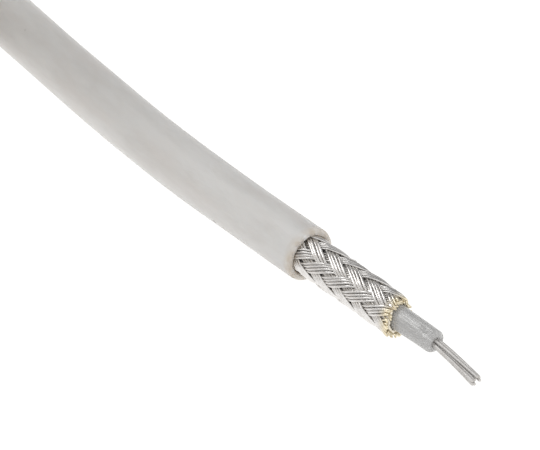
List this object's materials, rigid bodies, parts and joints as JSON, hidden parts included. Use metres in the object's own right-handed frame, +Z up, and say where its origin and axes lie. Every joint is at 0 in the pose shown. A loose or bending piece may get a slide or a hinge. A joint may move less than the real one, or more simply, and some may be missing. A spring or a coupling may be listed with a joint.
{
  "type": "coaxial cable",
  "caption": "Length of miniature white coaxial cable in a small tied coil, with a loose end stripped to show its braid, dielectric and stranded conductor.",
  "frame": {"origin": "under the middle of the whole piece's box, on the surface that the coil lies on", "axes": "+Z up along the coil's axis; the stripped end points towards +X and -Y"},
  "size_m": [0.0486, 0.0482, 0.0154],
  "materials": {
    "jacket": "matt white fluoropolymer, slightly translucent",
    "braid": "silver-plated copper wire, copper at the cut tips",
    "dielectric": "translucent white fluoropolymer",
    "conductor": "silver-plated strands",
    "tie": "natural nylon"
  },
  "bodies": {
    "root": {"cable_coil": "jacket", "cable_tie_1": "tie", "cable_tie_2": "tie", "jacket": "jacket", "braid": "braid", "dielectric": "dielectric", "strand_1": "conductor", "strand_2": "conductor", "strand_3": "conductor", "strand_4": "conductor", "strand_5": "conductor", "strand_6": "conductor", "strand_7": "conductor"}
  },
  "joints": []
}
